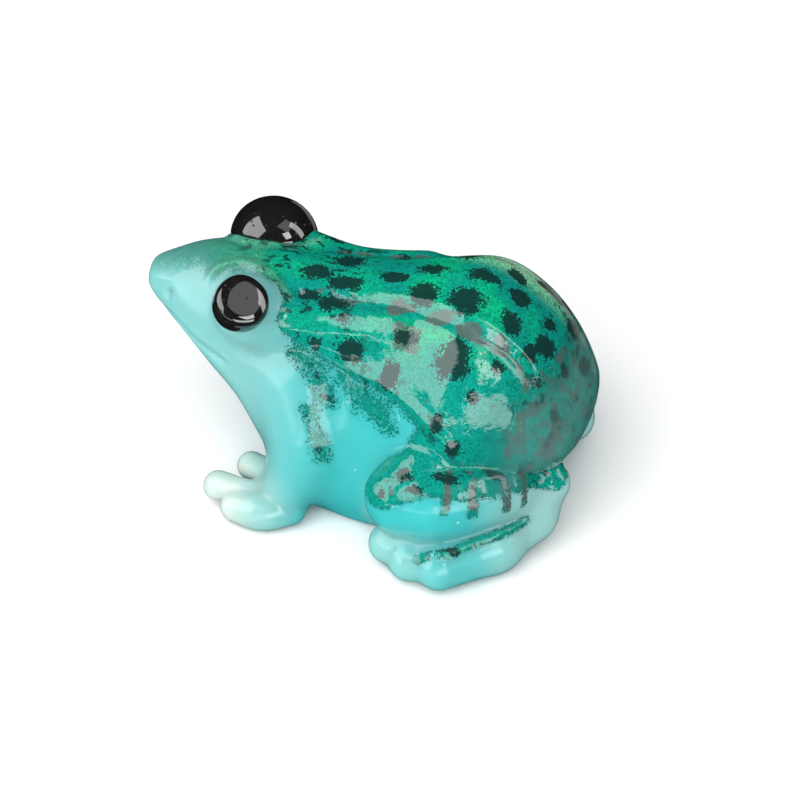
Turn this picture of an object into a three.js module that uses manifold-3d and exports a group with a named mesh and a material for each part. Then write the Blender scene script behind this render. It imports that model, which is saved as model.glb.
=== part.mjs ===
// A small cast-resin frog that sits with its head raised: one translucent casting, a thin printed
// film over its back, and two black drops for eyes.
// Millimetres, +Z up. It faces -Y, its left side is +X, and it rests on the plane z = 0.

import * as THREE from 'three';
import { mergeVertices } from 'three/addons/utils/BufferGeometryUtils.js';
import Module from 'manifold-3d';

const wasm = await Module();
wasm.setup();

// ---------------------------------------------------------------- driving dimensions

// Overall sizes of the frog. Places on it are given as shares of these three.
const LENGTH = 28; // snout to rump
const WIDTH = 24; // across the hind feet
const HEIGHT = 16; // rest plane to the top of the back

// Printed film and the shallow pocket that it lies in.
const FILM_THICKNESS = 0.3;
const SEAT_GAP = 0.3; // air between two pieces that touch
const POCKET_CLEARANCE = 2; // how far the pocket cutter stands out of the back

// Eyes: the left drop is a small one on the crown of a resin bulge, the right one covers its bulge.
const EYE_ACROSS = 0.32; // share of half the width
const LEFT_EYE_PLACE = [-0.235, 0.82]; // shares of the length and of the height
const RIGHT_EYE_PLACE = [-0.26, 0.8];
const EYE_BULGE_RADIUS = 2.6;
const LEFT_EYE_RADIUS = 1.75;
const LEFT_EYE_RISE = 0.75;
const LEFT_EYE_OUT = 2.25; // from the bulge's centre to the rim of the drop
const RIGHT_EYE_RADIUS = 2.65;
const RIGHT_EYE_RISE = 2.2;
const RIGHT_EYE_OUT = 0.3;
const EYE_ROOT = 0.9; // depth of each drop below its rim

// Limb thicknesses, as radii.
const SHOULDER = 2.4;
const ELBOW = 1.9;
const WRIST = 1.55;
const PALM = 1.4;
const FINGER = 0.95;
const HIP = 3.1;
const KNEE = 2.2;
const ANKLE = 1.35;
const FOOT = 1.7;
const TOE = 1.25;

// Fineness of the facets.
const TRUNK_AROUND = 28;
const TRUNK_ALONG = 26;
const LIMB_AROUND = 10;
const CAP_ROWS = 2; // rows in each round end of a limb
const EYE_AROUND = 20;
const EYE_DOME_ROWS = 5;
const BULGE_AROUND = 16;
const BULGE_ROWS = 10;
const WELD = 1e-4; // vertices closer than this are one vertex

// ---------------------------------------------------------------- solids

/** The geometry with only its positions left and its shared vertices merged. */
function welded(geometry) {
  const plain = geometry.clone();
  plain.deleteAttribute('normal');
  plain.deleteAttribute('uv');
  return mergeVertices(plain, WELD);
}

/** A closed geometry as a solid that can be joined and cut. */
function solid(geometry) {
  const plain = welded(geometry);
  const vertProperties = new Float32Array(plain.attributes.position.array);
  const triVerts = new Uint32Array(plain.index.array);
  return new wasm.Manifold(new wasm.Mesh({ numProp: 3, vertProperties, triVerts }));
}

/** A solid back as a geometry that a mesh can show. */
function geometryOf(body) {
  const { vertProperties, triVerts } = body.getMesh();
  const geometry = new THREE.BufferGeometry();
  geometry.setAttribute('position', new THREE.BufferAttribute(vertProperties, 3));
  geometry.setIndex(new THREE.BufferAttribute(triVerts, 1));
  geometry.computeVertexNormals();
  return geometry;
}

/** The geometry with every vertex moved out along its normal by a distance, or in if it is negative. */
function offset(geometry, distance) {
  const moved = welded(geometry);
  moved.computeVertexNormals();
  const { position, normal } = moved.attributes;
  const point = new THREE.Vector3();
  const out = new THREE.Vector3();
  for (let i = 0; i < position.count; i++) {
    point.fromBufferAttribute(position, i);
    out.fromBufferAttribute(normal, i);
    point.addScaledVector(out, distance);
    position.setXYZ(i, point.x, point.y, point.z);
  }
  return moved;
}

/** Every solid in a list as one. */
function joined(solids) {
  return solids.reduce((whole, next) => whole.add(next));
}

/** A sphere whose every point is moved by place(polar angle, angle around, target). */
function warpedSphere(around, rows, place) {
  const geometry = new THREE.SphereGeometry(1, around, rows);
  const { position } = geometry.attributes;
  const point = new THREE.Vector3();
  for (let i = 0; i < position.count; i++) {
    point.fromBufferAttribute(position, i);
    const polar = Math.acos(THREE.MathUtils.clamp(point.y, -1, 1));
    const turn = Math.atan2(point.z, point.x);
    place(polar, turn, point);
    position.setXYZ(i, point.x, point.y, point.z);
  }
  return geometry;
}

/** A place on the frog: shares of half the width, of the length and of the height. */
function at(across, along, up) {
  return new THREE.Vector3((across * WIDTH) / 2, along * LENGTH, up * HEIGHT);
}

// ---------------------------------------------------------------- trunk and head

// Sections across the trunk from the snout to the rump. Each has its place along the length, its
// top and bottom as shares of the height, its half width as a share of half the overall width, and
// how much its upper part narrows.
const SECTIONS = [
  { along: -0.5, top: 0.72, bottom: 0.72, half: 0, narrowing: 0 },
  { along: -0.488, top: 0.78, bottom: 0.67, half: 0.085, narrowing: 0 },
  { along: -0.45, top: 0.83, bottom: 0.62, half: 0.165, narrowing: 0.05 },
  { along: -0.39, top: 0.865, bottom: 0.545, half: 0.26, narrowing: 0.1 },
  { along: -0.32, top: 0.9, bottom: 0.43, half: 0.345, narrowing: 0.15 },
  { along: -0.25, top: 0.91, bottom: 0.3, half: 0.4, narrowing: 0.18 },
  { along: -0.19, top: 0.91, bottom: 0.1, half: 0.43, narrowing: 0.2 },
  { along: -0.12, top: 0.905, bottom: -0.03, half: 0.49, narrowing: 0.2 },
  { along: 0.02, top: 0.94, bottom: -0.08, half: 0.58, narrowing: 0.18 },
  { along: 0.14, top: 0.985, bottom: -0.08, half: 0.65, narrowing: 0.08 },
  { along: 0.25, top: 0.99, bottom: -0.06, half: 0.69, narrowing: 0 },
  { along: 0.34, top: 0.905, bottom: -0.04, half: 0.66, narrowing: 0 },
  { along: 0.42, top: 0.75, bottom: 0.1, half: 0.55, narrowing: 0.02 },
  { along: 0.475, top: 0.56, bottom: 0.26, half: 0.37, narrowing: 0.02 },
  { along: 0.495, top: 0.46, bottom: 0.33, half: 0.16, narrowing: 0 },
  { along: 0.5, top: 0.4, bottom: 0.4, half: 0, narrowing: 0 },
];
const WAIST = 0.42; // height of the widest line between the bottom and the top of a section

/** The trunk and head: egg-shaped sections along the body, closed at the snout and at the rump. */
function trunk() {
  const outline = new THREE.CatmullRomCurve3(
    SECTIONS.map((s) => at(s.half, s.along, s.top)), false, 'catmullrom');
  const underside = new THREE.CatmullRomCurve3(
    SECTIONS.map((s) => at(s.narrowing, s.along, s.bottom)), false, 'catmullrom');
  return warpedSphere(TRUNK_AROUND, TRUNK_ALONG, (polar, turn, target) => {
    const t = polar / Math.PI;
    const upper = outline.getPoint(t);
    const lower = underside.getPoint(t);
    const middle = THREE.MathUtils.lerp(lower.z, upper.z, WAIST);
    const rise = Math.sin(turn);
    const narrowing = (2 * lower.x) / WIDTH;
    const reach = rise > 0 ? upper.z - middle : middle - lower.z;
    target.set(-upper.x * Math.cos(turn) * (1 - narrowing * rise), upper.y, middle + reach * rise);
  });
}

// ---------------------------------------------------------------- limbs

/** A straight tapered stretch of limb with hemispherical ends, from one place to another. */
function stretch(start, end, startRadius, endRadius) {
  const axis = end.clone().sub(start);
  const lower = new THREE.EllipseCurve(0, 0, startRadius, startRadius, -Math.PI / 2, 0);
  const upper = new THREE.EllipseCurve(0, axis.length(), endRadius, endRadius, 0, Math.PI / 2);
  const profile = [...lower.getPoints(CAP_ROWS), ...upper.getPoints(CAP_ROWS)];
  profile[0].x = 0;
  profile[profile.length - 1].x = 0;
  const turn = new THREE.Quaternion().setFromUnitVectors(
    new THREE.Vector3(0, 1, 0), axis.clone().normalize());
  const geometry = new THREE.LatheGeometry(profile, LIMB_AROUND);
  return solid(geometry.applyQuaternion(turn).translate(start.x, start.y, start.z));
}

/** A round limb that bends smoothly through places, with a radius at each. */
function limb(places, radii, stretches) {
  const curve = new THREE.CatmullRomCurve3(places, false, 'catmullrom');
  const thickness = new THREE.SplineCurve(radii.map((radius, i) => new THREE.Vector2(i, radius)));
  const stops = curve.getPoints(stretches);
  const widths = thickness.getPoints(stretches).map((point) => point.y);
  const pieces = stops.slice(1).map((stop, i) => stretch(stops[i], stop, widths[i], widths[i + 1]));
  return joined(pieces);
}

/** One foreleg and its hand. side is 1 on the left and -1 on the right. */
function foreleg(side) {
  const wrist = at(side * 0.58, -0.105, 0.16);
  const palm = at(side * 0.57, -0.14, 0.085);
  const fingers = [
    [at(side * 0.64, -0.1, 0.065), at(side * 0.7, -0.155, 0.065), at(side * 0.7, -0.22, 0.065)],
    [palm, at(side * 0.58, -0.19, 0.09), at(side * 0.57, -0.265, 0.08)],
    [palm, at(side * 0.48, -0.165, 0.12), at(side * 0.42, -0.215, 0.1)],
    [palm, at(side * 0.44, -0.12, 0.12), at(side * 0.38, -0.15, 0.09)],
  ];
  return joined([
    limb([at(side * 0.38, -0.13, 0.56), at(side * 0.53, -0.09, 0.34), wrist, palm],
      [SHOULDER, ELBOW, WRIST, PALM], 3),
    ...fingers.map((places) => limb(places, [FINGER, FINGER * 0.9, FINGER], 2)),
  ]);
}

/** One hind leg, folded beside the rump, with its foot under it. */
function hindLeg(side) {
  const heel = at(side * 0.2, 0.435, 0.25);
  const sole = at(side * 0.6, 0.345, 0.09);
  const toes = [
    at(side * 0.89, 0.28, 0.075),
    at(side * 0.86, 0.19, 0.06),
    at(side * 0.74, 0.135, 0.065),
  ];
  return joined([
    limb([at(side * 0.38, 0.27, 0.42), at(side * 0.66, 0.2, 0.36), at(side * 0.74, 0.16, 0.27)],
      [HIP, KNEE * 1.1, KNEE], 2),
    limb([at(side * 0.74, 0.175, 0.26), at(side * 0.65, 0.26, 0.23), at(side * 0.44, 0.35, 0.24), heel],
      [KNEE, KNEE * 0.95, KNEE * 0.8, ANKLE], 3),
    limb([heel, at(side * 0.34, 0.42, 0.1), sole, toes[0]], [ANKLE, FOOT, FOOT, TOE], 3),
    ...toes.slice(1).map((tip) => limb([sole, at(side * 0.7, 0.25, 0.08), tip], [FOOT, TOE * 1.2, TOE], 2)),
  ]);
}

// ---------------------------------------------------------------- eyes

/** A drop of black resin: a dome on a short round root, standing on its +Z axis. */
function drop(radius, rise, root, clearance = 0) {
  const profile = [new THREE.Vector2(0, -root - clearance)];
  const dome = new THREE.EllipseCurve(0, 0, radius + clearance, rise + clearance, 0, Math.PI / 2);
  profile.push(new THREE.Vector2(radius * 0.8 + clearance, -root - clearance));
  profile.push(...dome.getPoints(EYE_DOME_ROWS));
  profile[profile.length - 1].x = 0;
  return new THREE.LatheGeometry(profile, EYE_AROUND).rotateX(Math.PI / 2);
}

/** Where an eye's bulge is centred, and which way its drop looks. */
function eyeSeat(side) {
  const [along, up] = side > 0 ? LEFT_EYE_PLACE : RIGHT_EYE_PLACE;
  return {
    centre: at(side * EYE_ACROSS, along, up),
    outward: new THREE.Vector3(side, 0, 1).normalize(),
  };
}

/** A geometry on +Z turned and moved onto an eye's bulge, out from its centre. */
function onEye(geometry, side, out) {
  const { centre, outward } = eyeSeat(side);
  const turn = new THREE.Quaternion().setFromUnitVectors(new THREE.Vector3(0, 0, 1), outward);
  const foot = centre.clone().addScaledVector(outward, out);
  return geometry.clone().applyQuaternion(turn).translate(foot.x, foot.y, foot.z);
}

/** The resin bulge under an eye, grown by a clearance. */
function eyeBulge(side, clearance = 0) {
  const { centre } = eyeSeat(side);
  const ball = new THREE.SphereGeometry(EYE_BULGE_RADIUS + clearance, BULGE_AROUND, BULGE_ROWS);
  return solid(ball.translate(centre.x, centre.y, centre.z));
}

const leftEye = (clearance = 0) =>
  onEye(drop(LEFT_EYE_RADIUS, LEFT_EYE_RISE, EYE_ROOT, clearance), 1, LEFT_EYE_OUT);
const rightEye = (clearance = 0) =>
  onEye(drop(RIGHT_EYE_RADIUS, RIGHT_EYE_RISE, EYE_ROOT, clearance), -1, RIGHT_EYE_OUT);

// ---------------------------------------------------------------- printed film

// The film's lower edge from the side, from the snout to the rump: places along the length and
// shares of the height.
const FILM_EDGE = [
  [-0.5, 0.72], [-0.4, 0.74], [-0.25, 0.82], [-0.12, 0.8], [0.0, 0.73],
  [0.11, 0.67], [0.22, 0.58], [0.31, 0.45], [0.4, 0.36], [0.5, 0.32],
];

/** A block over everything above the film's lower edge, grown by a clearance. */
function filmBlock(clearance) {
  const edge = new THREE.SplineCurve(FILM_EDGE.map(([along, up]) => {
    const place = at(0, along, up);
    return new THREE.Vector2(place.y, place.z - clearance);
  }));
  const outline = new THREE.Shape([
    ...edge.getPoints(2 * FILM_EDGE.length),
    new THREE.Vector2(LENGTH, FILM_EDGE.at(-1)[1] * HEIGHT - clearance),
    new THREE.Vector2(LENGTH, 2 * HEIGHT),
    new THREE.Vector2(-LENGTH, 2 * HEIGHT),
    new THREE.Vector2(-LENGTH, FILM_EDGE[0][1] * HEIGHT - clearance),
  ]);
  const block = new THREE.ExtrudeGeometry(outline, { depth: 2 * WIDTH, bevelEnabled: false });
  // The outline's own X and Y become the frog's Y and Z.
  const turn = new THREE.Matrix4().makeBasis(
    new THREE.Vector3(0, 1, 0), new THREE.Vector3(0, 0, 1), new THREE.Vector3(1, 0, 0));
  return solid(block.applyMatrix4(turn).translate(-WIDTH, 0, 0));
}

/** The film: the outermost layer of the back, inside its outline and clear of both eyes. */
function film(back) {
  const layer = solid(back).subtract(solid(offset(back, -FILM_THICKNESS)));
  return layer
    .intersect(filmBlock(0))
    .subtract(eyeBulge(1, SEAT_GAP))
    .subtract(eyeBulge(-1, SEAT_GAP))
    .subtract(solid(rightEye(SEAT_GAP)))
    .subtract(solid(leftEye(SEAT_GAP)));
}

/** What is cut from the casting so that the film lies flush in it. */
function filmPocket(back) {
  return solid(offset(back, POCKET_CLEARANCE))
    .subtract(solid(offset(back, -FILM_THICKNESS - SEAT_GAP)))
    .intersect(filmBlock(SEAT_GAP))
    .subtract(eyeBulge(1))
    .subtract(eyeBulge(-1));
}

// ---------------------------------------------------------------- casting

/** The casting: trunk, limbs and eye bulges in one pour, flat underneath, with its pockets cut. */
function casting(back) {
  const half = LENGTH;
  const above = new THREE.BoxGeometry(2 * half, 2 * half, 2 * half).translate(0, 0, half);
  const limbs = [1, -1].flatMap((side) => [foreleg(side), hindLeg(side), eyeBulge(side)]);
  return joined([solid(back), ...limbs])
    .intersect(solid(above))
    .subtract(filmPocket(back))
    .subtract(solid(leftEye(SEAT_GAP)))
    .subtract(solid(rightEye(SEAT_GAP)));
}

// ---------------------------------------------------------------- the frog

/** One named piece with a material of its own. */
function piece(name, geometry, material) {
  const mesh = new THREE.Mesh(geometry, new THREE.MeshStandardMaterial(material));
  mesh.name = name;
  return mesh;
}

const back = trunk();
const frog = new THREE.Group();
frog.add(
  piece('body_casting', geometryOf(casting(back)), { color: 0x6fd0d2, roughness: 0.08, metalness: 0 }),
  piece('back_print_film', geometryOf(film(back)), { color: 0x14a682, roughness: 0.15, metalness: 0 }),
  piece('left_eye', welded(leftEye()), { color: 0x0a0c0c, roughness: 0.05, metalness: 0 }),
  piece('right_eye', welded(rightEye()), { color: 0x0a0c0c, roughness: 0.05, metalness: 0 }),
);

export default frog;
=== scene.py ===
"""The looks of a small cast-resin frog: translucent turquoise body, printed back film, black gloss eyes."""

import math

import bpy
import numpy as np
from bpy.props import FloatProperty, FloatVectorProperty, PointerProperty
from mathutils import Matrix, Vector


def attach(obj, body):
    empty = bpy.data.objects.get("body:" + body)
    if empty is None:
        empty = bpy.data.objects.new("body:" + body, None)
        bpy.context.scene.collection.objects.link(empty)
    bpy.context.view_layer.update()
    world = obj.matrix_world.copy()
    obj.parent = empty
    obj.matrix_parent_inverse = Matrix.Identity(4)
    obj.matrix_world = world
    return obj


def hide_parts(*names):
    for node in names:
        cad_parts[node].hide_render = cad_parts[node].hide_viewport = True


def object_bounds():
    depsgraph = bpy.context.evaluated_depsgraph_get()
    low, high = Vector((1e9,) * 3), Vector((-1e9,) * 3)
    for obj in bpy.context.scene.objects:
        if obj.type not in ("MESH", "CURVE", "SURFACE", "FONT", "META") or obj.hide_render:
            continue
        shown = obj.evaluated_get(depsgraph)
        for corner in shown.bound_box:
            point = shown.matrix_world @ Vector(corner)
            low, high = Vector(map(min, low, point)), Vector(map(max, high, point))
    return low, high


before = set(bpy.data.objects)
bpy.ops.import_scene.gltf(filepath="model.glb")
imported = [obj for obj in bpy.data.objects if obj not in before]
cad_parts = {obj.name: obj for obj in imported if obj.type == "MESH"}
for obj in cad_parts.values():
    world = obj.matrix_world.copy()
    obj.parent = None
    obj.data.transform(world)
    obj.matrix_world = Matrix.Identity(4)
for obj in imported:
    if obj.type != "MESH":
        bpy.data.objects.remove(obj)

bl_info = {
    "name": "Cast resin frog",
    "version": (1, 0, 0),
    "blender": (4, 5, 0),
    "location": "3D View > Sidebar > Resin frog",
    "description": "Builds a small translucent frog with a printed back and black eyes",
    "category": "Add Mesh",
}

CAD_BOX = [list(corner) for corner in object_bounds()]
MM = 0.001  # one millimetre in scene units

# ---------------------------------------------------------------- places on the frog

LOW, HIGH = (np.array(corner) / MM for corner in CAD_BOX)
LENGTH = HIGH[1] - LOW[1]
HALF_WIDTH = (HIGH[0] - LOW[0]) / 2
HEIGHT = HIGH[2] - LOW[2]


def at(across, along, up):
    """A place in millimetres from shares of half the width, of the length and of the height."""
    return np.array([across * HALF_WIDTH, along * LENGTH, up * HEIGHT])


def spline(values, t):
    """Uniform Catmull-Rom curve through rows of values, read at t from 0 to 1."""
    rows = np.asarray(values, float)
    last = len(rows) - 1
    place = np.clip(np.asarray(t, float) * last, 0, last - 1e-9)
    i = place.astype(int)
    f = (place - i)[:, None]
    ends = np.vstack([2 * rows[0] - rows[1], rows, 2 * rows[last] - rows[last - 1]])
    p0, p1, p2, p3 = (ends[i + k] for k in range(4))
    return 0.5 * (
        2 * p1 + (p2 - p0) * f + (2 * p0 - 5 * p1 + 4 * p2 - p3) * f**2 + (3 * p1 - p0 - 3 * p2 + p3) * f**3
    )


def smoothstep(low, high, value):
    """0 below low, 1 above high, and an S-shaped rise between."""
    t = np.clip((value - low) / (high - low), 0, 1)
    return t * t * (3 - 2 * t)


# ---------------------------------------------------------------- the casting as a distance field

# A casting poured in one piece has soft fillets wherever a limb meets the trunk, which no single
# two-parameter surface gives. So its surface is the zero level of a distance field on a grid.
CELL = 0.17  # grid spacing in millimetres
TRUNK_STEPS = 600  # places along the length where the sections are worked out
STEEPEST = 4  # the slope along the body counts up to this many times the slope across it
LEAST_REACH = 0.05  # a section gets no thinner than this in millimetres, so nothing is divided by zero
LEAST_SLOPE = 0.02  # the same for the slope that makes a distance
NARROWED = (0.4, 2)  # narrowing leaves a section between these shares of its width
NEAR = 4  # distances from the trunk are only right up to this many millimetres
FAR = 9.0  # a distance that stands for no limb at all
GROUND_BLEND = 0.35  # rounding in millimetres where the casting meets the ground

# Sections across the trunk: place along the length, top, bottom, half width, narrowing upwards.
SECTIONS = [
    (-0.5, 0.715, 0.715, 0, 0),
    (-0.488, 0.77, 0.665, 0.09, 0),
    (-0.45, 0.81, 0.615, 0.175, 0.05),
    (-0.39, 0.858, 0.545, 0.275, 0.1),
    (-0.32, 0.893, 0.43, 0.355, 0.15),
    (-0.25, 0.9, 0.3, 0.41, 0.18),
    (-0.19, 0.905, 0.1, 0.44, 0.2),
    (-0.12, 0.895, -0.1, 0.5, 0.18),
    (0.02, 0.915, -0.18, 0.58, 0.16),
    (0.14, 0.955, -0.16, 0.635, 0.08),
    (0.25, 0.965, 0.0, 0.665, 0),
    (0.34, 0.89, 0.14, 0.6, 0),
    (0.42, 0.75, 0.24, 0.48, 0),
    (0.475, 0.57, 0.32, 0.34, 0),
    (0.495, 0.5, 0.38, 0.17, 0),
    (0.5, 0.44, 0.44, 0, 0),
]
WAIST = 0.42  # height of the widest line between a section's bottom and its top


class Grid:
    """A block of sample points over the left half of the frog, and its distance field."""

    def __init__(self):
        margin = 4 * CELL
        self.start = np.array([-2 * CELL, LOW[1] - margin, LOW[2] - margin])
        stop = np.array([HIGH[0] + margin, HIGH[1] + margin, HIGH[2] + margin])
        self.count = np.ceil((stop - self.start) / CELL).astype(int) + 1
        self.axes = [self.start[k] + CELL * np.arange(self.count[k]) for k in range(3)]
        self.field = self.trunk().astype(np.float32)

    def trunk(self):
        """Egg-shaped sections: 1 on the section's outline, made a distance by its own slope."""
        t = np.linspace(0, 1, TRUNK_STEPS)
        along, top, bottom, half, narrowing = spline(SECTIONS, t).T
        x, y, z = (self.axes[0][:, None, None], self.axes[1], self.axes[2][None, None, :])
        share = y / LENGTH
        upper, lower, reach, narrow = (
            np.interp(share, along, values)[None, :, None] for values in (top, bottom, half, narrowing)
        )
        upper, lower = upper * HEIGHT, lower * HEIGHT
        reach = np.maximum(reach * HALF_WIDTH, LEAST_REACH)
        middle = lower + WAIST * (upper - lower)
        room = np.where(z > middle, upper - middle, middle - lower)
        rise = (z - middle) / np.maximum(room, LEAST_REACH)
        across = np.abs(x) / (reach * np.clip(1 - narrow * rise, *NARROWED))
        level = np.sqrt(across**2 + rise**2) - 1
        slopes = np.gradient(level, CELL)
        flat = np.sqrt(slopes[0] ** 2 + slopes[2] ** 2)
        steepness = np.sqrt(flat**2 + np.minimum(np.abs(slopes[1]), STEEPEST * flat) ** 2)
        beyond = (np.abs(y) - LENGTH / 2)[None, :, None]
        distance = np.clip(level / np.maximum(steepness, LEAST_SLOPE), -NEAR, NEAR)
        return np.maximum(distance, beyond)

    def around(self, low, high):
        """The slices of the grid that hold a box, and the coordinates of their points."""
        first = np.clip(((low - self.start) / CELL).astype(int), 0, self.count - 2)
        last = np.clip(np.ceil((high - self.start) / CELL).astype(int) + 1, first + 1, self.count)
        where = tuple(slice(a, b) for a, b in zip(first, last))
        x, y, z = (axis[s] for axis, s in zip(self.axes, where))
        return where, np.abs(x[:, None, None]), y[None, :, None], z[None, None, :]

    def join(self, places, radii, blend, steps=14):
        """Joins a round limb along a smooth path, its radius smoothly between those given."""
        t = np.linspace(0, 1, steps + 1)
        path = spline(places, t)
        radius = spline(np.asarray(radii, float)[:, None], t)[:, 0]
        reach = radius.max() + blend + 3 * CELL
        where, x, y, z = self.around(path.min(axis=0) - reach, path.max(axis=0) + reach)
        limb = np.full(np.broadcast_shapes(x.shape, y.shape, z.shape), FAR)
        for a, b, ra, rb in zip(path, path[1:], radius, radius[1:]):
            axis = b - a
            along = (x - a[0]) * axis[0] + (y - a[1]) * axis[1] + (z - a[2]) * axis[2]
            run = np.clip(along / (axis @ axis), 0, 1)
            beside, ahead, above = (c - a[k] - run * axis[k] for k, c in enumerate((x, y, z)))
            gap = np.sqrt(beside**2 + ahead**2 + above**2)
            limb = np.minimum(limb, gap - ra - run * (rb - ra))
        self.field[where] = blended(self.field[where], limb, blend)

    def whole(self):
        """The field over both halves: the left half and its mirror image, flat underneath."""
        left = self.field[2:]
        both = np.concatenate([left[:0:-1], left], axis=0)
        start = np.array([-(left.shape[0] - 1) * CELL, self.start[1], self.start[2]])
        floor = (LOW[2] - self.axes[2])[None, None, :]
        return Field(-blended(-both, -floor, GROUND_BLEND), start)


def blended(a, b, blend):
    """The lower of two distances, rounded off where they are within the blend of each other."""
    near = np.clip(blend - np.abs(a - b), 0, None) / blend
    return np.minimum(a, b) - near * near * blend / 4


class Field:
    """A distance field on a regular grid, read between its points by trilinear weights."""

    def __init__(self, values, start):
        self.values = np.ascontiguousarray(values, dtype=np.float32)
        self.start = start

    def read(self, points):
        """The distance at each point."""
        place = (points - self.start) / CELL
        place = np.clip(place, 0, np.array(self.values.shape) - 1.001)
        i = place.astype(int)
        f = place - i
        total = 0
        for corner in range(8):
            step = np.array([corner >> 2 & 1, corner >> 1 & 1, corner & 1])
            weight = np.prod(np.where(step, f, 1 - f), axis=1)
            total = total + weight * self.values[tuple((i + step).T)]
        return total

    def slope(self, points):
        """The unit direction in which the distance grows at each point."""
        steps = np.eye(3) * CELL
        rise = np.stack([self.read(points + step) - self.read(points - step) for step in steps], axis=1)
        return rise / np.maximum(np.linalg.norm(rise, axis=1, keepdims=True), 1e-9)

    def settle(self, points, rounds=3):
        """Moves points along the slope onto the zero level."""
        for _ in range(rounds):
            step = np.clip(self.read(points), -CELL / 2, CELL / 2)
            points = points - self.slope(points) * step[:, None]
        return points

    def join_ball(self, centre, radius, blend):
        """Joins a ball."""
        first = np.clip(((centre - radius - blend - self.start) / CELL).astype(int), 0, None)
        last = ((centre + radius + blend - self.start) / CELL).astype(int) + 2
        where = tuple(slice(a, b) for a, b in zip(first, last))
        block = self.values[where]
        steps = (first[k] + np.arange(block.shape[k]) for k in range(3))
        x, y, z = np.ix_(*(self.start[k] + CELL * step - centre[k] for k, step in enumerate(steps)))
        gap = np.sqrt(x**2 + y**2 + z**2) - radius
        self.values[where] = blended(block, gap, blend)

    def surface(self):
        """Vertices and outward quads of the zero level, one vertex in each cell that it crosses."""
        inside = self.values < 0
        cells = np.zeros(tuple(n - 1 for n in inside.shape), np.int8)
        for corner in range(8):
            a, b, c = corner >> 2 & 1, corner >> 1 & 1, corner & 1
            cells += inside[a : a + cells.shape[0], b : b + cells.shape[1], c : c + cells.shape[2]]
        crossed = np.argwhere((cells > 0) & (cells < 8))
        number = np.full(cells.shape, -1, np.int32)
        number[tuple(crossed.T)] = np.arange(len(crossed))
        total = np.zeros((len(crossed), 3))
        hits = np.zeros(len(crossed))
        corners = np.array([[k >> 2 & 1, k >> 1 & 1, k & 1] for k in range(8)])
        values = np.stack([self.values[tuple((crossed + corner).T)] for corner in corners], axis=1)
        for a in range(8):
            for b in range(a + 1, 8):
                if np.abs(corners[a] - corners[b]).sum() != 1:
                    continue
                cut = (values[:, a] < 0) != (values[:, b] < 0)
                share = np.where(cut, values[:, a] / np.where(cut, values[:, a] - values[:, b], 1), 0)
                total += cut[:, None] * (corners[a] + share[:, None] * (corners[b] - corners[a]))
                hits += cut
        vertices = self.start + CELL * (crossed + total / hits[:, None])
        quads = []
        for axis in range(3):
            low = [slice(None)] * 3
            high = [slice(None)] * 3
            low[axis], high[axis] = slice(0, -1), slice(1, None)
            before, after = inside[tuple(low)], inside[tuple(high)]
            edges = np.argwhere(before != after)
            side = (axis + 1) % 3, (axis + 2) % 3
            kept = (edges[:, side[0]] > 0) & (edges[:, side[1]] > 0)
            edges = edges[kept]
            leaving = before[tuple(edges.T)]
            ring = []
            for da, db in ((-1, -1), (0, -1), (0, 0), (-1, 0)):
                cell = edges.copy()
                cell[:, side[0]] += da
                cell[:, side[1]] += db
                ring.append(number[tuple(cell.T)])
            faces = np.stack(ring, axis=1)
            faces[~leaving] = faces[~leaving][:, ::-1]
            quads.append(faces)
        return vertices, np.concatenate(quads)


# ---------------------------------------------------------------- limbs and eye bulges

BULGE_RADIUS = 2.1  # the ball under each eye, in millimetres
RIGHT_SMALLER = 0.1  # how much less than that the ball under the right eye is
BULGE_BLEND = 0.9  # how softly the balls meet the head, in millimetres
LEFT_BULGE = at(0.33, -0.236, 0.825)
RIGHT_BULGE = at(-0.33, -0.262, 0.805)
FINGER_BLEND = 0.25  # how softly the fingers meet the palm, in millimetres


def join_foreleg(grid):
    """A foreleg that leaves the trunk softly, and a hand of four short blunt fingers."""
    wrist = at(0.58, -0.11, 0.15)
    palm = at(0.57, -0.145, 0.085)
    grid.join([at(0.36, -0.12, 0.52), at(0.5, -0.085, 0.32), wrist, palm], [2.1, 1.8, 1.45, 1.3], 2.2)
    outer_finger = [at(0.62, -0.1, 0.07), at(0.68, -0.155, 0.07), at(0.67, -0.215, 0.065)]
    grid.join(outer_finger, [1.0, 1.2, 1.0], 0.3)
    for knuckle, tip, radii in (
        (at(0.6, -0.2, 0.1), at(0.57, -0.27, 0.085), [0.9, 0.78, 0.92]),
        (at(0.49, -0.165, 0.13), at(0.41, -0.215, 0.11), [0.9, 0.85, 0.9]),
        (at(0.45, -0.12, 0.13), at(0.38, -0.15, 0.1), [0.9, 0.85, 0.88]),
    ):
        grid.join([palm, knuckle, tip], radii, FINGER_BLEND)


def join_hind_leg(grid):
    """A hind leg folded beside the rump: a thigh, and a shank that runs smoothly into a broad foot."""
    heel = at(0.29, 0.42, 0.21)
    sole = at(0.63, 0.36, 0.1)
    toes = [at(0.88, 0.27, 0.095), at(0.85, 0.2, 0.085), at(0.76, 0.145, 0.09)]
    thigh = [at(0.42, 0.25, 0.38), at(0.6, 0.205, 0.36), at(0.715, 0.165, 0.3)]
    grid.join(thigh, [2.5, 2.3, 2.25], 0.3)
    trunk, grid.field = grid.field, np.full_like(grid.field, FAR)
    grid.join([heel, at(0.42, 0.4, 0.13), sole, toes[0]], [1.2, 1.6, 1.65, 1.4], 0.1)
    for tip in toes[1:]:
        grid.join([sole, at(0.7, 0.25, 0.1), tip], [1.5, 1.5, 1.3], 0.8)
    shank = [at(0.715, 0.17, 0.3), at(0.72, 0.25, 0.31), at(0.56, 0.345, 0.315), heel]
    grid.join(shank, [2.2, 2.15, 1.9, 1.35], 0.9)
    grid.field = blended(trunk, grid.field, 0.2)


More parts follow.
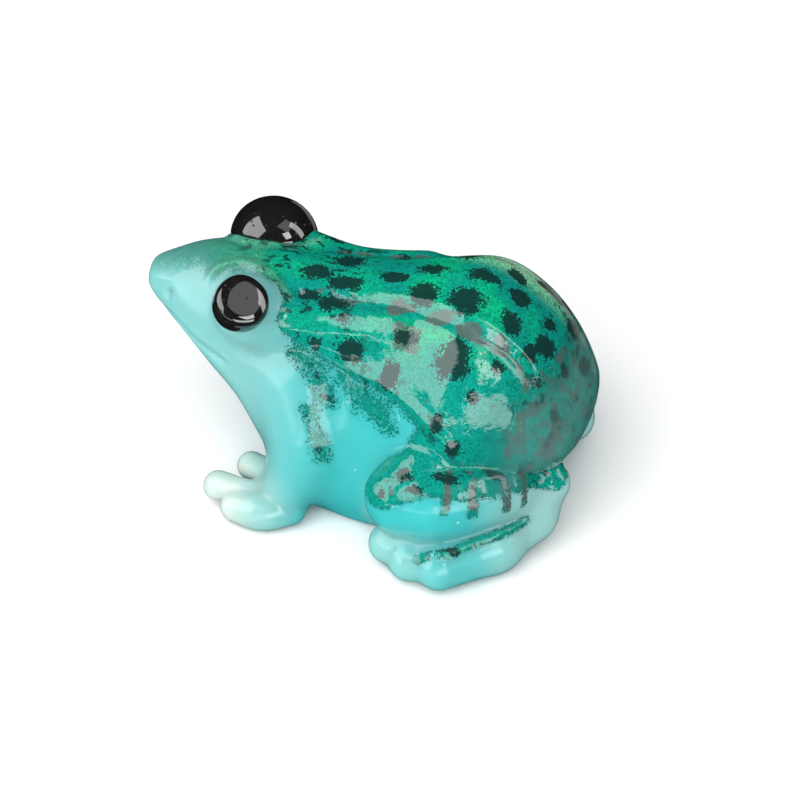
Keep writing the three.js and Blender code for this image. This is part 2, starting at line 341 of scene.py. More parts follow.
def cast_field():
    """The distance field of the whole casting."""
    grid = Grid()
    join_foreleg(grid)
    join_hind_leg(grid)
    neck = [at(0.29, -0.18, 0.775), at(0.25, -0.05, 0.775), at(0.27, 0.09, 0.82)]
    grid.join(neck, [1.3, 1.0, 0.6], 1.6)
    field = grid.whole()
    # The left heel is fuller than the right one.
    field.join_ball(at(0.31, 0.447, 0.25), 1.2, 0.9)
    field.join_ball(at(0.41, 0.422, 0.14), 1.55, 0.8)
    field.join_ball(LEFT_BULGE, BULGE_RADIUS, BULGE_BLEND)
    field.join_ball(RIGHT_BULGE, BULGE_RADIUS - RIGHT_SMALLER, BULGE_BLEND)
    return field


# ---------------------------------------------------------------- lines and marks on the surface

RIDGE = [
    (0.16, -0.16, 0.88), (0.13, -0.07, 0.89), (0.16, 0.09, 0.93), (0.22, 0.24, 0.94), (0.24, 0.36, 0.84),
    (0.25, 0.44, 0.66),
]
GROOVE = [
    (0.18, -0.09, 0.87), (0.21, -0.03, 0.87), (0.21, 0.07, 0.9), (0.25, 0.17, 0.91), (0.3, 0.24, 0.92),
    (0.31, 0.31, 0.88), (0.3, 0.36, 0.82), (0.34, 0.4, 0.72),
]
FOLD = [(0.32, -0.14, 0.73), (0.4, -0.02, 0.69), (0.5, 0.1, 0.67), (0.61, 0.22, 0.6), (0.66, 0.3, 0.47)]
MOUTH = [
    (0.1, -0.46, 0.67), (0.24, -0.41, 0.65), (0.31, -0.36, 0.62), (0.37, -0.31, 0.6), (0.41, -0.26, 0.57),
]
EYELID = [
    (0.22, -0.34, 0.82), (0.14, -0.33, 0.86), (0.09, -0.29, 0.89), (0.09, -0.25, 0.89), (0.15, -0.19, 0.89),
    (0.25, -0.15, 0.85),
]
LID_CREASE = [
    (0.09, -0.34, 0.88), (0.04, -0.27, 0.91), (0.1, -0.2, 0.9), (0.2, -0.13, 0.86), (0.3, -0.12, 0.79),
]
SHANK_TOP = [
    (0.84, 0.14, 0.4), (0.8, 0.19, 0.45), (0.75, 0.25, 0.45), (0.71, 0.31, 0.44), (0.6, 0.37, 0.42),
    (0.45, 0.42, 0.39), (0.35, 0.46, 0.34),
]
FOOT_TOP = [
    (0.93, 0.23, 0.15), (0.9, 0.29, 0.18), (0.81, 0.33, 0.19), (0.68, 0.39, 0.2), (0.5, 0.43, 0.19),
    (0.4, 0.47, 0.23),
]
KNEE_TOP = [(0.8, 0.13, 0.42), (0.78, 0.19, 0.47), (0.7, 0.22, 0.5)]
ARM_PATCH = [(0.54, -0.06, 0.52), (0.6, -0.04, 0.42), (0.61, -0.02, 0.3)]
NECK_PATCH = [(0.38, -0.11, 0.7), (0.44, -0.07, 0.65), (0.49, -0.03, 0.56)]
FLANK_PATCH = [(0.43, 0.01, 0.64), (0.47, 0.04, 0.6), (0.54, 0.1, 0.55)]
NOSTRIL = (0.19, -0.43, 0.74)
NOSTRIL_DEPTH = 0.3
NOSTRIL_WIDTH = 0.28

# Raised lines and creases on the casting: path, height and half width, in millimetres. They fade in and
# out along these shares of the path.
FADE_IN = (0, 0.12)
FADE_OUT = (1, 0.85)
RELIEF_LINES = (
    (RIDGE, 0.13, 0.4), (GROOVE, -0.12, 0.35), (EYELID, 0.24, 0.26), (LID_CREASE, -0.18, 0.2),
    (FOLD, 0.2, 0.3), (MOUTH, -0.24, 0.2), (FOOT_TOP, 0.3, 0.28), (SHANK_TOP, 0.12, 0.35),
)
# Print beyond the main edge: path, strength, and how far from it the print is full and where it ends.
PRINT_PATCHES = (
    (SHANK_TOP, 1.0, 0.8, 1.6), (KNEE_TOP, 1.0, 1.2, 2.2), (FOOT_TOP[:-1], 1.0, 0.1, 0.5),
    (ARM_PATCH, 0.55, 0, 1.3), (NECK_PATCH, 0.55, 0, 1.8), (FLANK_PATCH, 0.6, 0, 2.0),
)
# Lines with dark flecks beside them: path, strength and reach.
FLECKED_LINES = ((FOLD, 0.7, 1.6), (SHANK_TOP, 0.8, 0.9), (FOOT_TOP, 0.9, 0.6))

# Lower edge of the print seen from the side: share of the length, share of the height.
PRINT_EDGE = [
    (-0.5, 0.76), (-0.44, 0.8), (-0.38, 0.84), (-0.33, 0.85), (-0.25, 0.88), (-0.16, 0.82), (-0.11, 0.74),
    (-0.02, 0.68), (0.1, 0.65), (0.22, 0.57), (0.3, 0.45), (0.38, 0.38), (0.5, 0.36),
]

# Dark spots: place in shares, radius in millimetres, stretch along the body.
SPOTS = [
    (0.1, -0.04, 0.9, 0.5, 1.7), (-0.05, 0.14, 0.97, 0.6, 1.5), (-0.05, 0.26, 0.97, 0.6, 1.6),
    (0.16, 0.14, 0.95, 0.75, 1.2), (0.15, 0.24, 0.97, 0.95, 1.0), (-0.04, 0.34, 0.9, 0.6, 1.1),
    (0.15, 0.34, 0.89, 0.65, 1.0), (0.21, 0.39, 0.8, 0.55, 0.8), (0.11, 0.41, 0.77, 0.75, 0.8),
    (0.35, 0.13, 0.84, 0.5, 1.3), (0.46, 0.24, 0.84, 1.05, 0.9), (0.37, 0.01, 0.74, 0.7, 1.0),
    (0.47, 0.1, 0.71, 0.7, 0.9), (0.22, -0.05, 0.86, 0.55, 1.5), (0.33, -0.08, 0.74, 0.4, 1.4),
    (-0.07, -0.05, 0.89, 0.6, 1.4), (0.05, -0.11, 0.89, 0.5, 1.6), (0.39, 0.34, 0.82, 0.5, 0.9),
    (0.3, 0.42, 0.72, 0.5, 0.8), (0.31, 0.46, 0.58, 0.5, 0.8), (0.41, 0.46, 0.52, 0.5, 0.6),
    (0.08, 0.45, 0.66, 0.5, 0.8), (-0.04, 0.4, 0.8, 0.5, 0.8), (-0.2, 0.05, 0.92, 0.6, 1.5),
    (0.61, 0.23, 0.62, 0.5, 0.7), (0.65, 0.27, 0.54, 0.45, 0.7), (0.52, 0.3, 0.72, 0.4, 1.0),
    (0.78, 0.18, 0.45, 0.35, 1.2), (0.83, 0.21, 0.42, 0.3, 1.8), (0.74, 0.27, 0.45, 0.35, 2.6),
    (0.62, 0.36, 0.43, 0.28, 2.6), (0.85, 0.14, 0.38, 0.3, 0.8), (0.5, 0.4, 0.41, 0.25, 2.0),
    (0.88, 0.3, 0.19, 0.25, 2.5), (0.19, -0.11, 0.86, 0.35, 1.8), (0.28, -0.02, 0.83, 0.35, 1.6),
    (0.04, 0.06, 0.93, 0.35, 2.2), (-0.24, 0.19, 0.94, 0.7, 1.2), (-0.18, 0.31, 0.9, 0.6, 1.0),
    (-0.42, 0.12, 0.85, 0.8, 1.2), (-0.46, 0.26, 0.82, 0.9, 1.0), (-0.4, 0.0, 0.76, 0.6, 1.2),
    (-0.32, 0.38, 0.78, 0.6, 0.9), (-0.5, 0.34, 0.66, 0.7, 0.8), (-0.2, 0.43, 0.66, 0.6, 0.8),
    (-0.36, 0.44, 0.55, 0.5, 0.8), (-0.3, 0.35, 0.8, 0.5, 0.8), (-0.22, 0.43, 0.68, 0.6, 0.8),
    (-0.12, 0.47, 0.58, 0.6, 0.8), (-0.36, 0.4, 0.7, 0.5, 0.8), (-0.52, 0.08, 0.68, 0.6, 1.0),
    (-0.3, -0.12, 0.82, 0.45, 1.4), (-0.14, -0.33, 0.88, 0.3, 1.5),
]
BROWN_SPOTS = [
    (0.22, 0.09, 0.9, 0.5, 1.4), (0.35, 0.13, 0.84, 0.8, 1.0), (0.26, 0.19, 0.92, 0.5, 2.0),
    (0.31, 0.27, 0.9, 0.5, 2.0), (0.3, 0.34, 0.85, 0.6, 1.0), (0.39, 0.42, 0.64, 0.5, 0.7),
    (0.34, 0.46, 0.53, 0.5, 0.5), (0.4, 0.45, 0.46, 0.5, 0.5), (0.47, 0.4, 0.58, 0.5, 0.5),
    (0.52, 0.38, 0.5, 0.5, 0.4), (-0.3, 0.2, 0.92, 0.5, 1.5), (-0.33, 0.36, 0.83, 0.5, 1.0),
]
LEG_BARS = (0.4, 0.52, 0.68, 0.78)  # shares of the shank's top line
BAR_WIDTH = 0.021  # half width, as a share of that line
BAR_LENGTH = 2.3  # how far a bar reaches down the shank, in millimetres
BAR_TOP = 0.6  # how far above the line a bar ends, in millimetres
SPOT_GROWTH = 1.2  # the soft edge lies this many radii out
EDGE_WIDTH = (-1.1, 0.9)  # millimetres above the print's edge, from bare resin to full ink
FACING_UP = (-0.15, 0.35)  # upward part of a normal, from no print to full print on the patches
BARE_RING = (-0.1, 0.7)  # millimetres out from an eye's bulge, from bare resin to full ink


def gap_to_path(points, shares, samples=90):
    """Distance in millimetres from each point to a smooth path, and the share of the path reached there."""
    path = spline([at(*row) for row in shares], np.linspace(0, 1, samples))
    square = (points**2).sum(axis=1)[:, None] + (path**2).sum(axis=1) - 2 * points @ path.T
    nearest = square.argmin(axis=1)
    return np.sqrt(np.maximum(square[np.arange(len(points)), nearest], 0)), nearest / (samples - 1)


def spot_level(points, spots):
    """1 in the middle of a spot, 0.5 on its edge and lower outside; the highest of all the spots."""
    level = np.full(len(points), -1.0)
    for across, along, up, radius, stretch in spots:
        gap = np.linalg.norm((points - at(across, along, up)) / [1, stretch, 1], axis=1)
        level = np.maximum(level, 1 - 0.5 * gap / (SPOT_GROWTH * radius))
    return level


def bar_level(points):
    """The same for the dark bars across the shank."""
    side = folded(points)
    gap, run = gap_to_path(side, SHANK_TOP)
    over = side[:, 2] - spline(np.array(SHANK_TOP) * [0, 0, HEIGHT], run)[:, 2]
    nearest = np.min([np.abs(run - place) for place in LEG_BARS], axis=0)
    return np.minimum(1 - 0.5 * np.maximum(nearest / BAR_WIDTH, gap / BAR_LENGTH), BAR_TOP - over)


def folded(points):
    """The points with the right half brought over onto the left half."""
    return np.abs(points) * [1, 0, 0] + points * [0, 1, 1]


def relief(points):
    """How far the surface stands out at each point, in millimetres: ridges up, creases down."""
    side = folded(points)
    height = np.zeros(len(points))
    for shares, lift, width in RELIEF_LINES:
        gap, run = gap_to_path(side, shares)
        fade = smoothstep(*FADE_IN, run) * smoothstep(*FADE_OUT, run)
        height += lift * fade * np.exp(-((gap / width) ** 2))
    gap = np.linalg.norm(side - at(*NOSTRIL), axis=1)
    return height - NOSTRIL_DEPTH * np.exp(-((gap / NOSTRIL_WIDTH) ** 2))


def above_edge(points):
    """How far each point is above the print's lower edge, in millimetres."""
    along, up = np.array(PRINT_EDGE).T
    return points[:, 2] - np.interp(points[:, 1] / LENGTH, along, up) * HEIGHT


def print_cover(points, normals):
    """How much of the surface the print covers: 0 bare resin, 1 full ink, with a wide soft edge."""
    side = folded(points)
    cover = smoothstep(*EDGE_WIDTH, above_edge(points))
    facing = smoothstep(*FACING_UP, normals[:, 2])
    for shares, strength, inner, outer in PRINT_PATCHES:
        gap, _ = gap_to_path(side, shares)
        cover = np.maximum(cover, strength * smoothstep(outer, inner, gap) * facing)
    for bulge in (LEFT_BULGE, RIGHT_BULGE):
        gap = np.linalg.norm(points - bulge, axis=1) - BULGE_RADIUS
        cover *= smoothstep(*BARE_RING, gap)
    return cover


# ---------------------------------------------------------------- meshes in Blender


def solid(name, vertices, faces, material, **values):
    """A smooth mesh object at the origin, from millimetres, with named numbers on its points."""
    mesh = bpy.data.meshes.new(name)
    mesh.from_pydata((vertices * MM).tolist(), [], faces.tolist() if hasattr(faces, "tolist") else faces)
    mesh.shade_smooth()
    for key, amounts in values.items():
        attribute = mesh.attributes.new(key, "FLOAT", "POINT")
        attribute.data.foreach_set("value", np.asarray(amounts, np.float32))
    mesh.materials.append(material)
    piece = bpy.data.objects.new(name, mesh)
    bpy.context.scene.collection.objects.link(piece)
    return piece


def shell(outer, count):
    """Faces of a thin closed shell over these: outside, inside turned round, and a rim between."""
    edges = np.concatenate([outer[:, [k, (k + 1) % 4]] for k in range(4)])
    key = np.sort(edges, axis=1) @ [count, 1]
    _, first, times = np.unique(key, return_index=True, return_counts=True)
    rim = edges[first[times == 1]]
    inner = outer[:, ::-1] + count
    band = np.stack([rim[:, 1], rim[:, 0], rim[:, 0] + count, rim[:, 1] + count], axis=1)
    return np.concatenate([outer, inner, band])


def compact(vertices, faces, *values):
    """The vertices that the faces use, the faces renumbered, and the values of those vertices."""
    used = np.unique(faces)
    number = np.zeros(len(vertices), int)
    number[used] = np.arange(len(used))
    return (vertices[used], number[faces], *(value[used] for value in values))


# Waves round an eye's outline: height as a share of the radius, number of waves, and where they start.
EYE_WAVES = ((0.012, 3, 0.7), (0.008, 5, 0.0))


def dome(centre, axis, radius, rise, foot, squareness, rows=40, sides=96):
    """A round dome on an axis.

    At angle a from the crown, the distance from the axis is the radius times sin(a) to the squareness,
    and the height is the rise times cos(a) to the squareness, or the foot below the widest line.
    """
    axis = axis / np.linalg.norm(axis)
    side = np.cross(axis, [0, 1, 0])
    side /= np.linalg.norm(side)
    ahead = np.cross(axis, side)
    a = np.linspace(0, np.pi, rows + 1)[1:-1, None]
    turn = np.linspace(0, 2 * np.pi, sides, endpoint=False)[None, :]
    uneven = 1 + sum(height * np.sin(waves * turn + start) for height, waves, start in EYE_WAVES)
    out = radius * np.abs(np.sin(a)) ** squareness * uneven
    high = np.sign(np.cos(a)) * np.abs(np.cos(a)) ** squareness
    high = np.where(high > 0, rise, foot) * high + 0 * turn
    round_axis = (out * np.cos(turn))[..., None] * side + (out * np.sin(turn))[..., None] * ahead
    rings = centre + high[..., None] * axis + round_axis
    vertices = np.concatenate([rings.reshape(-1, 3), [centre + rise * axis, centre - foot * axis]])
    row, column = np.meshgrid(np.arange(rows - 2), np.arange(sides), indexing="ij")
    here, right = row * sides + column, row * sides + (column + 1) % sides
    quads = np.stack([here, here + sides, right + sides, right], axis=-1).reshape(-1, 4)
    ring, onward = np.arange(sides), (np.arange(sides) + 1) % sides
    top, bottom = len(vertices) - 2, len(vertices) - 1
    base = (rows - 2) * sides
    caps = [np.stack([np.full(sides, top), ring, onward], axis=1)]
    caps.append(np.stack([np.full(sides, bottom), base + onward, base + ring], axis=1))
    return vertices, quads.tolist() + np.concatenate(caps).tolist()


# ---------------------------------------------------------------- materials

# Sizes and heights in millimetres.
DOT_SIZE = 0.1
LUMP_HEIGHT = 0.09
RIPPLE_HEIGHT = 0.025
PIT_SPACING = 0.55
BUBBLE_SPACING = 2.4
EYE_BUMP = 0.1


class Tree:
    """Adds nodes to a node tree and links them."""

    def __init__(self, tree):
        self.tree = tree

    def add(self, kind, sockets=(), **settings):
        node = self.tree.nodes.new(kind)
        for key, value in settings.items():
            setattr(node, key, value)
        for key, value in dict(sockets).items():
            if isinstance(value, bpy.types.NodeSocket):
                self.tree.links.new(value, node.inputs[key])
            else:
                node.inputs[key].default_value = value
        return node

    def math(self, operation, a, b=0.0):
        return self.add("ShaderNodeMath", {0: a, 1: b}, operation=operation).outputs[0]

    def rise(self, value, low, high, start=0.0, stop=1.0):
        """A smooth step from start to stop between low and high."""
        sockets = {"Value": value, "From Min": low, "From Max": high, "To Min": start, "To Max": stop}
        return self.add("ShaderNodeMapRange", sockets, interpolation_type="SMOOTHSTEP").outputs[0]

    def blend(self, share, a, b):
        return self.add("ShaderNodeMix", {0: share, 6: a, 7: b}, data_type="RGBA").outputs[2]

    def amount(self, name):
        return self.add("ShaderNodeAttribute", attribute_name=name).outputs["Fac"]

    def place(self):
        return self.add("ShaderNodeTexCoord").outputs["Object"]

    def noise(self, size, detail=2.0, roughness=0.5, stretch=None):
        """Noise with lumps of about this size in millimetres."""
        where = self.place()
        if stretch is not None:
            where = self.add("ShaderNodeMapping", {0: where, 3: stretch}).outputs[0]
        sockets = {"Vector": where, "Scale": 1 / (size * MM), "Detail": detail, "Roughness": roughness}
        return self.add("ShaderNodeTexNoise", sockets).outputs[0]

    def scaled(self, value, amount):
        return self.math("MULTIPLY", value, amount)

    def plus(self, value, other):
        return self.math("ADD", value, other)

    def swing(self, value, amount):
        """The value's distance from one half, scaled."""
        return self.scaled(self.math("SUBTRACT", value, 0.5), amount)

    def group(self, name):
        """The output of a shared group, which is made when it is first asked for."""
        made = bpy.data.node_groups.get(name) or SHARED_GROUPS[name](name)
        return self.add("ShaderNodeGroup", node_tree=made).outputs[0]

    def feed(self, value, shader, socket):
        self.tree.links.new(value, shader.inputs[socket])

    def bumped(self, shader, height, distance, strength):
        """Bumps the shader's surface by the height."""
        bump = self.add("ShaderNodeBump", {"Height": height, "Distance": distance, "Strength": strength})
        self.feed(bump.outputs[0], shader, "Normal")


def new_group(name, output):
    """A node group with one number coming out, its tree, and the function that links the number."""
    made = bpy.data.node_groups.new(name, "ShaderNodeTree")
    made.interface.new_socket(name=output, in_out="OUTPUT", socket_type="NodeSocketFloat")
    tree = Tree(made)
    end = tree.add("NodeGroupOutput")
    return made, tree, lambda socket: made.links.new(socket, end.inputs[0])


def print_dots(name):
    """A number for each small cell, from 0 to 1, as the dots of a printed film."""
    made, tree, finish = new_group(name, "Dot")
    cells = tree.add("ShaderNodeTexVoronoi", {"Vector": tree.place(), "Scale": 1 / (DOT_SIZE * MM)})
    finish(tree.add("ShaderNodeSeparateColor", {0: cells.outputs["Color"]}).outputs[0])
    return made


def coat_lumps(name):
    """Heights in millimetres of broad lumps with small ripples on them."""
    made, tree, finish = new_group(name, "Height")
    lumps = tree.scaled(tree.noise(1.5, 2.0), LUMP_HEIGHT)
    ripples = tree.scaled(tree.noise(0.4, 3.0), RIPPLE_HEIGHT)
    finish(tree.plus(lumps, ripples))
    return made


def fine_pits(name):
    """1 on the surface and 0 in the middle of a pit, with pits only here and there."""
    made, tree, finish = new_group(name, "Height")
    cells = tree.add("ShaderNodeTexVoronoi", {"Vector": tree.place(), "Scale": 1 / (PIT_SPACING * MM)})
    pits = tree.rise(cells.outputs["Distance"], 0.06, 0.16)
    some = tree.rise(tree.noise(1.1), 0.46, 0.52)
    finish(tree.math("MAXIMUM", pits, tree.math("SUBTRACT", 1.0, some)))
    return made


SHARED_GROUPS = {"Print dots": print_dots, "Coat lumps": coat_lumps, "Fine pits": fine_pits}


def new_material(name, colour, **constants):
    """A material with one Principled shader, and its node tree."""
    material = bpy.data.materials.new(name)
    material.use_nodes = True
    material.diffuse_color = (*colour, 1)
    shader = material.node_tree.nodes["Principled BSDF"]
    for key, value in constants.items():
        shader.inputs[key.replace("_", " ")].default_value = value
    return material, shader, Tree(material.node_tree)


def resin_material(settings):
    """Milky turquoise resin, nearly clear at the hands, toes and heels, with painted light: a paler tint
    for light glowing through the cheeks and for light on the dimly lit rump, and a pale cream tint for
    light seen through the thin clear resin.
    """
    material, shader, tree = new_material(
        "Turquoise resin",
        settings.belly,
        Specular_IOR_Level=0.4,
        Subsurface_Weight=0.9,
        Subsurface_Scale=1.6 * MM,
        Subsurface_Radius=(0.35, 1.0, 1.0),
    )
    cloud = tree.rise(tree.noise(5.0, 2.0), 0.3, 0.7)
    deep = tree.blend(cloud, (*settings.belly, 1), (*settings.belly_shade, 1))
    # Painted light: a paler tint on the cheeks for light glowing through the thin resin, and on the rump
    # for light that the lamps leave out.
    painted_light_tint = tree.blend(tree.amount("pale"), deep, (*settings.painted_light_tint, 1))
    # Painted light: a pale cream tint where light shows through the thin clear resin of the hands, toes and
    # heels.
    lit_through_tint = tree.blend(tree.amount("clear"), painted_light_tint, (*settings.lit_through_tint, 1))
    cells = tree.add("ShaderNodeTexVoronoi", {"Vector": tree.place(), "Scale": 1 / (BUBBLE_SPACING * MM)})
    bubble = tree.scaled(tree.rise(cells.outputs["Distance"], 0.05, 0.035), 0.6)
    tree.feed(tree.blend(bubble, lit_through_tint, (*settings.lit_through_tint, 1)), shader, "Base Color")
    gloss = tree.math("MAXIMUM", tree.amount("lumpy"), tree.rise(tree.amount("clear"), 0.0, 0.35))
    tree.feed(tree.rise(gloss, 0.0, 0.8, 0.2, 0.05), shader, "Roughness")
    height = tree.math("MULTIPLY", tree.group("Coat lumps"), tree.rise(gloss, 0.0, 0.5, 0.15, 1.0))
    tree.bumped(shader, height, MM, settings.lumps)
    return material


def print_material(settings):
    """Green ink with dark spots, breaking up into dots at its edge, with a lumpy gloss."""
    material, shader, tree = new_material(
        "Printed back", settings.green, Roughness=0.04, Specular_IOR_Level=0.55
    )
    dot = tree.group("Print dots")
    wander = tree.noise(1.6, 3.0)
    ragged = tree.noise(0.45, 2.0)
    shade = tree.rise(tree.noise(2.6, 3.0), 0.35, 0.65)
    shade = tree.blend(shade, (*settings.green, 1), (*settings.teal, 1))
    shade = tree.blend(tree.amount("flank"), shade, (*settings.teal, 1))
    # Lighter yellow-green ink near the eyelids and on the snout, and a painted highlight along the right
    # crest.
    shade = tree.blend(tree.amount("ink_and_painted_highlight"), shade, (*settings.ink_and_painted_highlight, 1))
    shade = tree.blend(tree.scaled(tree.rise(dot, 0.25, 0.95), 0.7), shade, (*settings.deep, 1))
    streak = tree.swing(tree.noise(0.6, 3.0, 0.5, (1, 0.45, 0.7)), 0.9)
    brown = tree.rise(tree.plus(tree.amount("brown"), streak), 0.48, 0.58)
    shade = tree.blend(tree.scaled(brown, 0.7), shade, (*settings.brown, 1))
    level = tree.plus(tree.amount("spot"), tree.swing(wander, 0.75))
    level = tree.plus(tree.plus(level, tree.swing(ragged, 0.3)), tree.swing(dot, 0.22))
    fleck = tree.rise(tree.noise(0.5, 3.0, 0.6, (1, 0.6, 0.7)), 0.57, 0.62)
    fleck = tree.math("MULTIPLY", fleck, tree.amount("fleck"))
    dark = tree.math("MAXIMUM", tree.rise(level, 0.45, 0.55), fleck)
    tree.feed(tree.blend(tree.scaled(dark, 0.96), shade, (*settings.dark, 1)), shader, "Base Color")
    cover = tree.plus(tree.plus(tree.amount("cover"), tree.swing(wander, 0.75)), tree.swing(dot, 0.5))
    cover = tree.math("MULTIPLY", tree.rise(cover, 0.36, 0.64), tree.rise(tree.amount("cover"), 0.02, 0.12))
    strength = tree.scaled(tree.amount("strength"), settings.strength)
    tree.feed(tree.math("MULTIPLY", cover, strength), shader, "Alpha")
    tree.bumped(shader, tree.group("Coat lumps"), MM, settings.lumps)
    return material


def eye_material(name, settings):
    """Near-black gloss enamel with a few pits."""
    material, shader, tree = new_material(name, settings.colour, Specular_IOR_Level=0.95)
    tint = tree.blend(tree.noise(0.8), (*settings.colour, 1), (*settings.sheen, 1))
    tree.feed(tint, shader, "Base Color")
    tree.feed(tree.rise(tree.noise(0.4), 0.3, 0.7, 0.02, 0.08), shader, "Roughness")
    height = tree.plus(tree.group("Fine pits"), tree.scaled(tree.noise(1.6, 1.0), 0.4))
    tree.bumped(shader, height, EYE_BUMP * MM, settings.pits)
    return material


# ---------------------------------------------------------------- settings


def colour(name, description, default):
    return FloatVectorProperty(
        name=name, description=description, default=default, subtype="COLOR", min=0, max=1, size=3
    )


def share(name, description, default, most=1.0):
    return FloatProperty(
        name=name, description=description, default=default, min=0, max=most, subtype="FACTOR"
    )


def power(name, description, default):
    return FloatProperty(name=name, description=description, default=default, min=0, unit="POWER")


class FrogCastingSettings(bpy.types.PropertyGroup):
    belly: colour("Belly", "Colour of the thick resin", (0.05, 0.42, 0.42))
    belly_shade: colour("Belly clouds", "Second colour of the thick resin", (0.035, 0.37, 0.38))
    # Painted light: this paler tint stands for light glowing through the thin cheeks and throat, and for
    # light on the dimly lit rump.
    painted_light_tint: colour("Cheeks", "Colour of the paler resin on the cheeks and throat", (0.2, 0.44, 0.43))
    # Painted light: this pale cream stands for light seen through the thin clear resin; the small bubbles
    # take it too.
    lit_through_tint: colour("Toes", "Colour of the nearly clear resin at the toes", (0.68, 0.64, 0.57))
    lumps: share("Lumps", "Strength of the lumps in the gloss", 0.6)
    relief: share("Relief", "Height of the ridges and creases, 1 as cast", 1.0, most=2.0)


class FrogPrintSettings(bpy.types.PropertyGroup):
    green: colour("Green", "Main colour of the ink", (0.004, 0.42, 0.2))
    teal: colour("Teal", "Colour of the ink towards the flank", (0.004, 0.27, 0.22))
    deep: colour("Grain", "Colour of the darker dots in the ink", (0.002, 0.14, 0.09))
    # This yellow-green is lighter ink near the eyelids and on the snout, and a painted highlight on the
    # right crest.
    ink_and_painted_highlight: colour("Highlights", "Yellow-green of the eyelids and the right crest", (0.35, 0.72, 0.4))
    dark: colour("Dark spots", "Colour of the dark spots", (0.006, 0.03, 0.026))
    brown: colour("Brown spots", "Colour of the faint brown spots", (0.1, 0.08, 0.08))
    strength: share("Strength", "How solid the ink is", 0.93)
    lumps: share("Lumps", "Strength of the lumps in the gloss", 0.9)
    lift: FloatProperty(
        name="Lift", description="Thickness of the film", default=0.00004, min=0, unit="LENGTH"
    )


class FrogEyeSettings(bpy.types.PropertyGroup):
    colour: colour("Eye", "Colour of the enamel", (0.004, 0.004, 0.004))
    sheen: colour("Eye clouds", "Second colour of the enamel", (0.012, 0.012, 0.012))
    pits: share("Pits", "Strength of the pits", 1.0)


class FrogStageSettings(bpy.types.PropertyGroup):
    floor: colour("Floor", "Colour of the floor", (0.9, 0.9, 0.9))
    key_power: power("Key light", "Power of the large softbox", 1.55)
    side_power: power("Side lights", "Power of the softboxes that show in the gloss", 0.3)
    sky: FloatProperty(name="Sky", description="Brightness of the room", default=0.68, min=0)
    lens: FloatProperty(
        name="Lens", description="Focal length of the camera", default=400, min=20, unit="CAMERA"
    )


# ---------------------------------------------------------------- where colours and prints change

FLAT_BELOW = 0.02  # no ridge is raised on the flat underside, up to this height in millimetres
SURFACES = {}  # the worked-out casting for each relief setting, because two pieces use it


def settled_surface(settings):
    """The casting's vertices, outward directions and faces, with its ridges and creases."""
    if settings.relief not in SURFACES:
        field = cast_field()
        vertices, faces = field.surface()
        vertices = field.settle(vertices)
        normals = field.slope(vertices)
        lifted = vertices + normals * (settings.relief * relief(vertices))[:, None]
        lifted[:, 2] = np.where(vertices[:, 2] < FLAT_BELOW, vertices[:, 2], lifted[:, 2])
        SURFACES[settings.relief] = lifted, normals, faces
    return SURFACES[settings.relief]


# Stretches, from where a change starts to where it is complete. Along the body and up they are shares
# of the length and the height, and outwards shares of half the width.
CHEEKS_FORWARD = (0.02, -0.24)
RUMP_BACKWARD = (0.3, 0.44)
HEELS_BACKWARD = (0.3, 0.48)
LIMBS_DOWNWARD = (0.3, 0.1)
PALM_FORWARD = (-0.06, -0.14)
FINGERS_FORWARD = (-0.15, -0.24)
HANDS_OUTWARD = (0.3, 0.42)
TOES_FORWARD = (0.42, 0.12)
TOES_BACKWARD = (0.04, 0.1)
FEET_OUTWARD = (0.5, 0.6)
# The right crest carries a painted highlight.
CREST_BACKWARD = (0.14, 0.26)
CREST_UPWARD = (0.6, 0.88)
SNOUT_FORWARD = (-0.2, -0.34)
FLANKS_DOWNWARD = (0.92, 0.72)
STREAKS_BACKWARD = (0.3, 0.4)
STREAKS_DOWNWARD = (0.8, 0.7)
FAINTER_INK_BACKWARD = (0.26, 0.4)
FAINTER_INK_DOWNWARD = (0.8, 0.6)
SEAT_UPWARD = (0.3, 0.4)
INK_BACKWARD = (-0.44, -0.14)
BEHIND_HEAD = (-0.24, -0.16)
NECK_BACKWARD = (-0.36, -0.26)
NECK_FORWARD = (0.12, -0.06)

# The same in millimetres: towards the right side, above the print's edge, and near a line.
CREST_RIGHTWARD = (-1.2, -3.2)
HEAD_EDGE_UPWARD = (-0.5, 1.1)
NEAR_EYELID = (0.5, 0.05)
TEAL_NEAR_GROOVE = (0.9, 0.3)
BROWN_NEAR_GROOVE = (0.75, 0.2)

# The print's cover that is glossy and lumpy, and the level of a leg bar that prints by itself.
LUMPY_COVER = (0.05, 0.5)
BAR_PRINTS = (0.4, 0.6)


def resin_masks(points, cover):
    """How much of the painted paler tint, how clear and how lumpy the resin is at each point, 0 to 1."""
    outward, along, up = np.abs(points[:, 0]) / HALF_WIDTH, points[:, 1] / LENGTH, points[:, 2] / HEIGHT
    low = smoothstep(*LIMBS_DOWNWARD, up)
    # Painted light: paler forward on the cheeks for light glowing through thin resin, and backward on the
    # rump where the lamps leave it dim.
    pale = np.maximum(0.9 * smoothstep(*CHEEKS_FORWARD, along), 0.6 * smoothstep(*RUMP_BACKWARD, along))
    # The clear parts are glossier, and their pale cream tint is painted light seen through the thin clear
    # resin.
    hands = 0.22 * smoothstep(*PALM_FORWARD, along) + 0.4 * smoothstep(*FINGERS_FORWARD, along)
    hands *= low * smoothstep(*HANDS_OUTWARD, outward)
    toes = 0.28 * low * smoothstep(*TOES_FORWARD, along) * smoothstep(*TOES_BACKWARD, along)
    toes *= smoothstep(*FEET_OUTWARD, outward)
    heels = 0.25 * smoothstep(*HEELS_BACKWARD, along)
    clear = np.max([hands, toes, heels], axis=0)
    return {"pale": pale, "clear": clear, "lumpy": smoothstep(*LUMPY_COVER, cover)}


